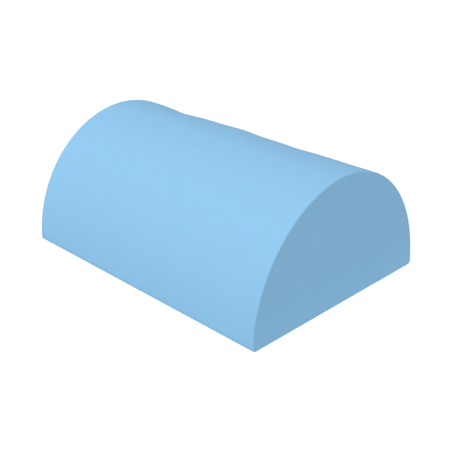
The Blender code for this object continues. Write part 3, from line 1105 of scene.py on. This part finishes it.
def make_tape_finish():
    finish, tree, shader = new_finish(
        "blue_zip_tape", (0.172, 0.360, 0.560), 0.8, Sheen_Weight=0.06
    )
    vector, u, v = cut_place(tree)
    fold = maths(tree, "PINGPONG", v, 0.0016)
    twill = ripple(tree, weighed(tree, (u, 1), (fold, 1.2)), tape_rib)
    picks = ripple(tree, v, 0.00045)
    yarn = grain(tree, vector, 3000, 2)
    level = weighed(tree, (twill, 0.5), (picks, 0.25))
    shade = weighed(tree, (between(tree, level, 0.35, 0.65), 1), (yarn, 0.25))
    tint(tree, shader, shade, (0.140, 0.305, 0.480), (0.200, 0.405, 0.615))
    dullness(tree, shader, yarn, 0.70, 0.88)
    relief(tree, shader, maths(tree, "ADD", level, yarn), 0.45, 0.00012)
    return finish


tape_finish = make_tape_finish()
tape_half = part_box("zip_tape_upper")[1].x
over_cord = [0, 0.0001, 0.0003, 0.0006, 0.0010, 0.0014, 0.0020]
across_tape = np.array(over_cord + [0.0034, 0.0060, 0.0090, 0.0115, 0.0135, 0.014])
for side, sign in both_edges:
    tape_x, tape_v = np.meshgrid(
        steps(-tape_half, tape_half, 0.004), tape_first + across_tape[::sign]
    )
    cord = cord_height * bell(tape_v - tape_first, cord_from_edge, 0.0005)
    tape_along = zip_seam + sign * tape_v
    layers = []
    for depth in (0, tape_thickness):
        y, z = section(tape_along, tape_inset + depth - cord)
        layers.append(np.dstack((tape_x, y, z)))
    tape = new_piece(
        "zip_woven_tape_" + side,
        woven_mesh("zip_woven_tape_" + side, *layers, np.dstack((tape_x, tape_v))),
    )
    dress(tape, tape_finish, "zip_tape_" + side)


# ---------------- zip chain
# Two coils of nylon filament, pressed flat and set, their loops lying between one another. Two
# lines of fine thread run over each coil and hold it on the corded edge of its tape.

coil_pitch = 0.0013
filament_radius = 0.00031
coil_overlap = 0.00055
coil_leg_set = 0.07
coil_points_per_loop = 12
coil_far = 0.00305
coil_height = 0.0020
coil_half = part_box("zip_coil_upper")[1].x


def zip_frame():
    """From local axes on the zip, X along the cushion to the left, Y up the wall, Z out of it."""
    y, z = section(zip_seam)
    up = Vector((0, -sin(zip_turn), cos(zip_turn)))
    out = Vector((0, cos(zip_turn), sin(zip_turn)))
    turn = Matrix((Vector((-1, 0, 0)), up, out)).transposed().to_4x4()
    return Matrix.Translation((0, float(y), float(z))) @ turn


def make_coil_tree():
    """A flattened spiral of filament along X, its middle set off sideways by Centre."""
    tree, given, result = new_tree(
        "zip_coil",
        {
            "Length": ("Float", 0.3),
            "Pitch": ("Float", coil_pitch),
            "Width": ("Float", 0.003),
            "Height": ("Float", coil_height),
            "Filament Radius": ("Float", filament_radius),
            "Centre": ("Float", 0.0),
            "Phase": ("Float", 0.0),
            "Points": ("Int", 100),
            "Filament": ("Material", None),
        },
    )
    half = times(tree, given["Length"], 0.5)
    ends = {"Start": point_at(tree, X=times(tree, half, -1.0)), "End": point_at(tree, X=half)}
    line = result_of(tree, "GeometryNodeCurvePrimitiveLine", ends)
    spaced = {"Curve": line, "Count": given["Points"]}
    fine = result_of(tree, "GeometryNodeResampleCurve", spaced, mode="COUNT")
    position = result_of(tree, "GeometryNodeInputPosition")
    place = result_of(tree, "ShaderNodeSeparateXYZ", {"Vector": position})
    loops = maths(tree, "DIVIDE", place, given["Pitch"])
    angle = maths(tree, "ADD", times(tree, loops, tau), given["Phase"])
    radius = given["Filament Radius"]
    across = maths(tree, "SUBTRACT", times(tree, given["Width"], 0.5), radius)
    upright = maths(tree, "SUBTRACT", times(tree, given["Height"], 0.5), radius)
    outer = times(tree, across, maths(tree, "COSINE", angle))
    twice = maths(tree, "SINE", times(tree, angle, 2.0))
    legs = times(tree, times(tree, twice, coil_leg_set), given["Pitch"])
    spiral_place = point_at(
        tree,
        X=maths(tree, "ADD", place, legs),
        Y=maths(tree, "ADD", given["Centre"], outer),
        Z=times(tree, upright, maths(tree, "SINE", angle)),
    )
    moved = {"Geometry": fine, "Position": spiral_place}
    spiral = result_of(tree, "GeometryNodeSetPosition", moved)
    filament = thread_along(tree, spiral, radius)
    close_tree(tree, filament, given["Filament"], result)
    return tree


def make_filament_finish():
    """Dyed nylon: smooth and half glossy, under a thin clear coat."""
    finish, tree, shader = new_finish(
        "blue_nylon_filament", (0.172, 0.368, 0.575), 0.35, Coat_Weight=0.15, Coat_Roughness=0.25
    )
    place = own_place(tree)
    drawn = grain(tree, place, 900, 3, 0.6)
    cloud = grain(tree, place, 120, 2)
    shade = weighed(tree, (drawn, 0.5), (cloud, 0.5))
    tint(tree, shader, shade, (0.145, 0.325, 0.525), (0.205, 0.415, 0.635))
    dullness(tree, shader, drawn, 0.26, 0.44)
    relief(tree, shader, drawn, 0.15, 0.00004)
    return finish


zip_place = zip_frame()
coil_tree = make_coil_tree()
filament_finish = make_filament_finish()
for side, sign in both_edges:
    coil = grown(
        "zip_coil_loops_" + side,
        coil_tree,
        {
            "Length": 2 * coil_half - 2 * filament_radius,
            "Width": coil_far + coil_overlap,
            "Centre": sign * (coil_far - coil_overlap) / 2,
            "Phase": 0.0 if sign > 0 else pi,
            "Points": round(2 * coil_half / coil_pitch) * coil_points_per_loop,
            "Filament": filament_finish,
        },
    )
    coil.data.transform(zip_place)
    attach(coil, "cushion")
    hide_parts("zip_coil_" + side)

    for row, from_centre, level in (("inner", 0.00135, 0.00100), ("outer", 0.00235, 0.00078)):
        ends = coil_half - coil_pitch
        points = [
            zip_place @ Vector((x, sign * from_centre, level))
            for x in steps(-ends, ends, coil_pitch)
        ]
        sewn(
            "zip_coil_stitches_%s_%s" % (side, row),
            None,
            points,
            [(0, cos(zip_turn), sin(zip_turn))] * len(points),
            pitch=coil_pitch,
            stitch_length=0.94 * coil_pitch,
            thread_radius=0.00011,
            rise=0.00004,
            dip=0.00025,
        )


# ---------------- zip stops, slider and pull tab
# Die-cast zinc with a satin nickel plating. The slider body rides on the coils, its tab hangs in
# the bridge, and the stops are clamped on the coils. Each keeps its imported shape.


def make_nickel_finish():
    """Satin nickel: fine lines of the polishing brush, a few duller handled patches."""
    finish, tree, shader = new_finish("satin_nickel", (0.60, 0.59, 0.57), 0.3, Metallic=1.0)
    place = own_place(tree)
    stretched = {"Vector": place, "Scale": (300.0, 6000.0, 6000.0)}
    drawn = result_of(tree, "ShaderNodeMapping", stretched)
    lines = grain(tree, drawn, 1.0, 2, 0.6)
    handled = grain(tree, place, 420, 3, 0.55)
    shade = weighed(tree, (lines, 0.4), (handled, 0.6))
    tint(tree, shader, shade, (0.50, 0.49, 0.475), (0.70, 0.69, 0.67))
    dull = weighed(tree, (lines, 0.35), (handled, 0.65))
    dullness(tree, shader, dull, 0.18, 0.46)
    relief(tree, shader, lines, 0.12, 0.00003)
    return finish


nickel_finish = make_nickel_finish()
for part in (
    "zip_top_stop_upper",
    "zip_top_stop_lower",
    "zip_bottom_stop",
    "zip_slider_body",
    "zip_pull_tab",
):
    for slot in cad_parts[part].material_slots:
        slot.material = nickel_finish


# ---------------- floor, light and camera
# A plain white floor under an even white sky, with one broad soft light from the front and above.

floor_reach = 9.0
floor_corners = 48
floor_turns = [tau * i / floor_corners for i in range(floor_corners)]
floor_mesh = bpy.data.meshes.new("floor")
floor_mesh.from_pydata(
    [(floor_reach * cos(turn), floor_reach * sin(turn), 0) for turn in floor_turns],
    [],
    [tuple(range(floor_corners))],
)
floor = new_piece("floor", floor_mesh)
floor_finish = new_finish("white_floor", (0.834, 0.834, 0.834), 0.9, Specular_IOR_Level=0.0)[0]
floor_mesh.materials.append(floor_finish)

sky_level = 0.330
sky = bpy.data.worlds.new("even_sky")
sky.use_nodes = True
sky_tree = sky.node_tree
lighting = sky_tree.nodes["Background"]
lighting.inputs["Color"].default_value = (1, 1, 1, 1)
lighting.inputs["Strength"].default_value = sky_level
backdrop = result_of(sky_tree, "ShaderNodeBackground", {"Color": (1, 1, 1, 1), "Strength": 1.0})
seen = result_of(sky_tree, "ShaderNodeLightPath", output="Is Camera Ray")
either = result_of(
    sky_tree, "ShaderNodeMixShader", {0: seen, 1: lighting.outputs[0], 2: backdrop}
)
sky_tree.links.new(either, sky_tree.nodes["World Output"].inputs["Surface"])
bpy.context.scene.world = sky

lamp = bpy.data.lights.new("broad_soft_light", "SUN")
lamp.energy = 3.521
lamp.use_shadow = False
lamp.angle = radians(20)
towards_lamp = Vector((0.2272, -0.4540, 0.8616))
lamp_stand = new_piece("broad_soft_light", lamp)
lamp_stand.rotation_euler = towards_lamp.to_track_quat("Z", "Y").to_euler()

bpy.context.scene.view_settings.view_transform = "Standard"
camera_down = 25.0675
camera_round = 44.9391
camera_data = bpy.data.cameras.new("camera")
camera_data.lens = 67.735
camera_data.sensor_width = 36
camera = new_piece("camera", camera_data)
camera.location = (0.72877, -0.72038, 0.51652)
camera.rotation_euler = (radians(90 - camera_down), 0, radians(camera_round))
bpy.context.scene.camera = camera
